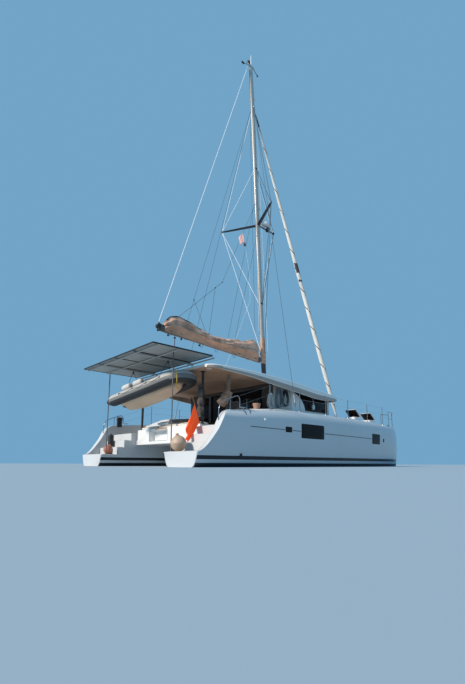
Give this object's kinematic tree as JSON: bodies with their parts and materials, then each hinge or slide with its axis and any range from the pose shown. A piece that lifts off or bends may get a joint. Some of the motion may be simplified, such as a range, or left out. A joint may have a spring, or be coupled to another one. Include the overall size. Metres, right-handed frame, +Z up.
{
  "type": "sailing catamaran",
  "caption": "Cruising sailing catamaran with a hardtop deckhouse, raked mast, boom with sail bag, furled jib, stern solar panels and a hanging tender.",
  "frame": {"origin": "on the centreline amidships, at the waterline", "axes": "+X towards the bow, +Y to port, +Z up"},
  "size_m": [13.47, 7.7, 21.175],
  "materials": {
    "gelcoat": "glossy white gelcoat",
    "dark_glass": "dark tinted acrylic and glass",
    "aluminium_spar": "satin anodised",
    "stainless": "polished stainless steel",
    "black_metal": "satin black",
    "bronze": "dull bronze",
    "antifoul": "matt dark antifouling",
    "canvas": "tan acrylic canvas",
    "sailcloth": "off-white sailcloth and rope",
    "cushion": "off-white upholstery",
    "netting": "pale grey net",
    "teak": "oiled teak",
    "solar": "dark glass panels in black frames",
    "tender_tube": "light grey coated fabric",
    "tender_shell": "beige shell"
  },
  "bodies": {
    "boat": {"bridgedeck": "gelcoat", "deckhouse": "gelcoat", "bulkhead": "gelcoat", "hardtop": "gelcoat", "helm_console": "gelcoat", "hull_port": "gelcoat", "hull_starboard": "gelcoat", "front_glass": "dark_glass", "side_glass_port": "dark_glass", "side_glass_starboard": "dark_glass", "bulkhead_glass_port": "dark_glass", "bulkhead_glass_starboard": "dark_glass", "mast": "aluminium_spar", "crossbeam": "aluminium_spar", "spine_beam": "aluminium_spar", "saildrive_port": "aluminium_spar", "saildrive_starboard": "aluminium_spar", "pulpit_port": "stainless", "pulpit_starboard": "stainless", "guard_rail_port": "stainless", "guard_rail_starboard": "stainless", "cap_shroud_port": "stainless", "cap_shroud_starboard": "stainless", "forestay_foot": "stainless", "forestay_head": "stainless", "solar_frame": "stainless", "roof_post_port": "black_metal", "roof_post_starboard": "black_metal", "spreader_port": "black_metal", "spreader_starboard": "black_metal", "keel_port": "antifoul", "keel_starboard": "antifoul", "mast_collar": "canvas", "cushion_aft": "cushion", "cushion_side": "cushion", "helm_seat": "cushion", "trampoline_port": "netting", "trampoline_starboard": "netting", "cockpit_table": "teak", "flagstaff": "teak", "solar_panels": "solar", "tender_tubes": "tender_tube", "tender_hull": "tender_shell"},
    "boom": {"boom": "aluminium_spar", "sail_bag": "canvas", "topping_lift": "sailcloth"},
    "jib": {"furled_jib": "sailcloth"},
    "wheel": {"helm_wheel": "stainless"},
    "rudder_port": {"rudder_port": "antifoul"},
    "rudder_starboard": {"rudder_starboard": "antifoul"},
    "propeller_port": {"propeller_port": "bronze"},
    "propeller_starboard": {"propeller_starboard": "bronze"},
    "door": {"saloon_door": "dark_glass"},
    "hatch_aft_port": {"hatch_aft_port": "dark_glass"},
    "hatch_forward_port": {"hatch_forward_port": "dark_glass"},
    "hatch_aft_starboard": {"hatch_aft_starboard": "dark_glass"},
    "hatch_forward_starboard": {"hatch_forward_starboard": "dark_glass"},
    "locker_lid_port": {"locker_lid_port": "gelcoat"},
    "locker_lid_starboard": {"locker_lid_starboard": "gelcoat"}
  },
  "joints": [
    {"name": "boom_swing", "type": "hinge", "parent": "boat", "child": "boom", "pos_m": [-0.0506, 0, 4.7], "axis": [-0.046, 0, 0.9989], "range_deg": [-50, 50]},
    {"name": "jib_furl", "type": "hinge", "parent": "boat", "child": "jib", "pos_m": [5.994, 0, 2.2], "axis": [-0.3821, 0, 0.9241], "continuous": true},
    {"name": "wheel_turn", "type": "hinge", "parent": "boat", "child": "wheel", "pos_m": [-2.47, -1.56, 2.15], "axis": [1, 0, 0], "range_deg": [-540, 540]},
    {"name": "rudder_port_turn", "type": "hinge", "parent": "boat", "child": "rudder_port", "pos_m": [-5.25, 2.88, -0.6], "axis": [0, 0, 1], "range_deg": [-35, 35]},
    {"name": "rudder_starboard_turn", "type": "hinge", "parent": "boat", "child": "rudder_starboard", "pos_m": [-5.25, -2.88, -0.6], "axis": [0, 0, 1], "range_deg": [-35, 35]},
    {"name": "propeller_port_spin", "type": "hinge", "parent": "boat", "child": "propeller_port", "pos_m": [-4.38, 2.88, -0.82], "axis": [1, 0, 0], "continuous": true},
    {"name": "propeller_starboard_spin", "type": "hinge", "parent": "boat", "child": "propeller_starboard", "pos_m": [-4.38, -2.88, -0.82], "axis": [1, 0, 0], "continuous": true},
    {"name": "door_slide", "type": "slide", "parent": "boat", "child": "door", "axis": [0, 1, 0], "range_m": [-1.12, 0]},
    {"name": "hatch_aft_port_hinge", "type": "hinge", "parent": "boat", "child": "hatch_aft_port", "pos_m": [2.9, 2.88, 2.085], "axis": [0, 1, 0], "range_deg": [0, 75]},
    {"name": "hatch_forward_port_hinge", "type": "hinge", "parent": "boat", "child": "hatch_forward_port", "pos_m": [4.13, 2.88, 2.035], "axis": [0, 1, 0], "range_deg": [0, 75]},
    {"name": "hatch_aft_starboard_hinge", "type": "hinge", "parent": "boat", "child": "hatch_aft_starboard", "pos_m": [2.9, -2.88, 2.085], "axis": [0, 1, 0], "range_deg": [-38, 37]},
    {"name": "hatch_forward_starboard_hinge", "type": "hinge", "parent": "boat", "child": "hatch_forward_starboard", "pos_m": [4.13, -2.88, 2.035], "axis": [0, 1, 0], "range_deg": [-38, 37]},
    {"name": "locker_port_hinge", "type": "hinge", "parent": "boat", "child": "locker_lid_port", "pos_m": [2.33, 0.68, 2.05], "axis": [0, -1, 0], "range_deg": [0, 75]},
    {"name": "locker_starboard_hinge", "type": "hinge", "parent": "boat", "child": "locker_lid_starboard", "pos_m": [2.33, -0.68, 2.05], "axis": [0, -1, 0], "range_deg": [0, 75]}
  ],
  "couplings": [
    {"joint": "rudder_port_turn", "follows": "wheel_turn", "ratio": 0.064815},
    {"joint": "rudder_starboard_turn", "follows": "wheel_turn", "ratio": 0.064815}
  ]
}
